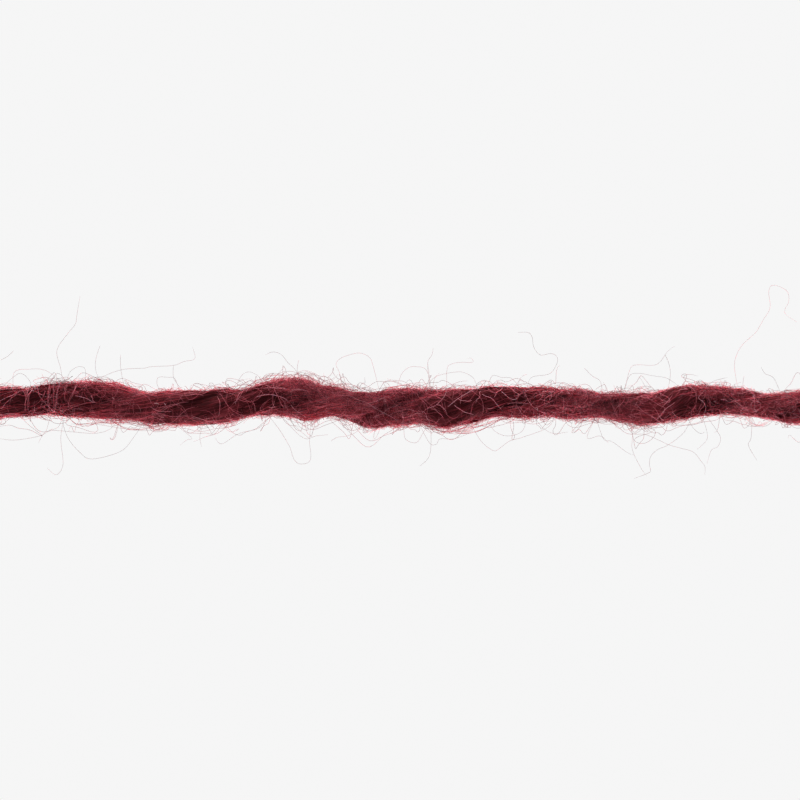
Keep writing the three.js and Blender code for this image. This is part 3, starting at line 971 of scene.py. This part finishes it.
def single_hairs(hairs, fibres, spread, steps, lift, seed):
    """Smooth routes through the places of each hair, or of each lock of a few fibres."""
    rng = np.random.default_rng(seed)
    share = np.linspace(0, 1, steps)
    routes = []
    for hair in hairs:
        points = np.array(hair) * MM
        places = np.linspace(0, len(points) - 1, DRAWN_FINER * steps)
        drawn = np.stack([smooth_curve(points[:, column], places) for column in (0, 1)])
        drawn_length = np.append(0, np.cumsum(np.hypot(*np.diff(drawn))))
        for _ in range(fibres):
            length_share = np.clip(share + rng.uniform(-0.1, 0.1, 1) * (fibres > 1), 0, 1)
            off = spread * np.stack([
                uneven_waves(rng, (1,), share, 0.5, 2.0) for _ in range(3)])
            at_length = length_share * drawn_length[-1]
            along = np.interp(at_length, drawn_length, drawn[0]) + off[0]
            side = np.interp(at_length, drawn_length, drawn[1]) + off[1]
            height = seen_from_above(along, side, slope=rng.uniform(-0.3, 0.5)) + lift + off[2]
            height = np.pad(height, HEIGHTS_SMOOTHED // 2, mode="edge")
            height = np.convolve(height, np.ones(HEIGHTS_SMOOTHED) / HEIGHTS_SMOOTHED, mode="valid")
            routes.append(np.stack([along, side, np.maximum(height, LOWEST_WOOL)], axis=-1))
    return np.array(routes), rng.random(len(routes))


STRAY_THICKNESS = 0.018 * MM
stray_wool = wool_material(
    "stray wool", deep=(0.12, 0.02, 0.026), light=(0.44, 0.075, 0.095),
    fibre_contrast=1.0, patch_contrast=0.6, glow=0.15)
# Painted glints: a pale, nearly white copy of the wool for the glint flecks.
GLINT_THICKNESS = 0.045 * MM
glint_wool = wool_material(
    "painted glint wool", deep=(0.5, 0.25, 0.28), light=(0.95, 0.6, 0.64),
    fibre_contrast=1.0, patch_contrast=0.6, glow=0.2)
for name, hairs, fibres, spread, steps, lift, seed, thickness, material in (
        ("stray_hairs", STRAY_HAIRS, 1, 0.0, 57, 0.0, 52, STRAY_THICKNESS, stray_wool),
        ("wound_locks", WOUND_LOCKS, 5, 0.06, 21, 0.1, 52, STANDING_THICKNESS, loose_wool),
        ("laid_hairs", LAID_HAIRS, 1, 0.04, 21, 0.25, 51, LOOSE_THICKNESS, lit_wool),
        ("hanging_hairs", HANGING_HAIRS, 3, 0.06, 21, 0.0, 54, FUZZ_THICKNESS, fuzz_wool),
        ("painted_glints", PAINTED_GLINT_PLACES, 1, 0.0, 5, 0.3, 53, GLINT_THICKNESS, glint_wool)):
    routes, shades = single_hairs(hairs, fibres, spread * MM, steps, lift * MM, seed)
    hair_piece(name, routes, thickness, material, shades, tip=0.6)

# The cut ends
# The length is cut straight across with scissors. The fibres of both plies end there, some a
# little longer than the others, and spread as the twist lets go.

CUT_FIBRES = 420
CUT_THICKNESS = 1.2 * SPUN_THICKNESS
CUT_STEPS = 7
HEAVY_PLY_SHARE = 0.7


def cut_end_fibres(end, seed):
    """Short fibres through the section of both plies, that run out past the cut."""
    rng = np.random.default_rng(seed)
    share = np.linspace(0, 1, CUT_STEPS)[None, :]
    start = CUT_LENGTH / 2 - rng.uniform(0.6, 1.6, (CUT_FIBRES, 1)) * MM
    stop = CUT_LENGTH / 2 + rng.uniform(-0.15, 0.35, (CUT_FIBRES, 1)) * MM
    along = end * (start + (stop - start) * share)
    plies = plies_at(end * start)
    in_heavy = rng.random((CUT_FIBRES, 1)) < HEAVY_PLY_SHARE
    radius = np.sqrt(rng.random((CUT_FIBRES, 1)))
    angle = rng.uniform(0, 2 * math.pi, (CUT_FIBRES, 1))
    routes = [
        on_the_ply(
            ply, along, angle + 0.3 * share * rng.normal(0, 1, (CUT_FIBRES, 1)),
            ply["out"] * (1 - radius * (0.93 + 0.1 * share ** 2)))
        for ply in plies]
    picked = np.where(in_heavy[..., None], *routes)
    picked[..., 2] = np.maximum(picked[..., 2], LOWEST_WOOL)
    return picked, rng.random(CUT_FIBRES)


for name, end, seed in (("first_cut_end", -1, 51), ("second_cut_end", 1, 53)):
    routes, shades = cut_end_fibres(end, seed)
    hair_piece(name, routes, CUT_THICKNESS, spun_wool, shades, tip=0.8)

# The surface and the light
# The yarn lies on a plain pale panel that glows evenly, under one plain soft lamp, and the camera
# looks straight down on it.

PANEL_SIZE = 3.0
PANEL_SEEN = 0.92
PANEL_LIGHT = 3.5
PANEL_GAP = 0.02 * MM
ROOM_LIGHT = 0.2
LAMP_SIZE = 0.25
LAMP_POWER = 0.41
LAMP_PLACE = (-0.12, 0.25, 0.4)
LAMP_TILT = (math.radians(-32), math.radians(-16), 0)

panel_material = bpy.data.materials.new("glowing panel")
panel_material.use_nodes = True
panel_tree = panel_material.node_tree
panel_shader = panel_tree.nodes["Principled BSDF"]
panel_shader.inputs["Base Color"].default_value = (0, 0, 0, 1)
panel_shader.inputs["Roughness"].default_value = 1.0
panel_shader.inputs["Specular IOR Level"].default_value = 0.0
panel_shader.inputs["Emission Color"].default_value = (1, 1, 1, 1)
seen_straight = panel_tree.nodes.new("ShaderNodeLightPath").outputs["Is Camera Ray"]
panel_glow = maths(panel_tree, "MULTIPLY_ADD", seen_straight, PANEL_SEEN - PANEL_LIGHT, PANEL_LIGHT)
panel_tree.links.new(panel_glow, panel_shader.inputs["Emission Strength"])
bpy.ops.mesh.primitive_plane_add(size=PANEL_SIZE, location=(0, 0, -PANEL_GAP))
panel = bpy.context.object
panel.name = "panel"
panel.data.materials.append(panel_material)

room = bpy.data.worlds.new("soft room")
room.use_nodes = True
room.node_tree.nodes["Background"].inputs["Color"].default_value = (1, 1, 1, 1)
room.node_tree.nodes["Background"].inputs["Strength"].default_value = ROOM_LIGHT
bpy.context.scene.world = room
bpy.context.scene.view_settings.view_transform = "Standard"

lamp_light = bpy.data.lights.new("soft lamp", "AREA")
lamp_light.shape = "DISK"
lamp_light.size = LAMP_SIZE
lamp_light.energy = LAMP_POWER
lamp = bpy.data.objects.new("soft lamp", lamp_light)
lamp.location = LAMP_PLACE
lamp.rotation_euler = LAMP_TILT
bpy.context.scene.collection.objects.link(lamp)

PICTURE_WIDTH = 60 * MM
LENS = 100.0
SENSOR = 36.0
PICTURE_MIDDLE = 0.3 * MM
STRAND_MIDDLE_HEIGHT = 1.5 * MM

camera_data = bpy.data.cameras.new("camera")
camera_data.lens = LENS
camera_data.sensor_width = SENSOR
camera_data.clip_start = 0.01
camera = bpy.data.objects.new("camera", camera_data)
camera.location = (0, PICTURE_MIDDLE, PICTURE_WIDTH * LENS / SENSOR + STRAND_MIDDLE_HEIGHT)
bpy.context.scene.collection.objects.link(camera)
bpy.context.scene.camera = camera
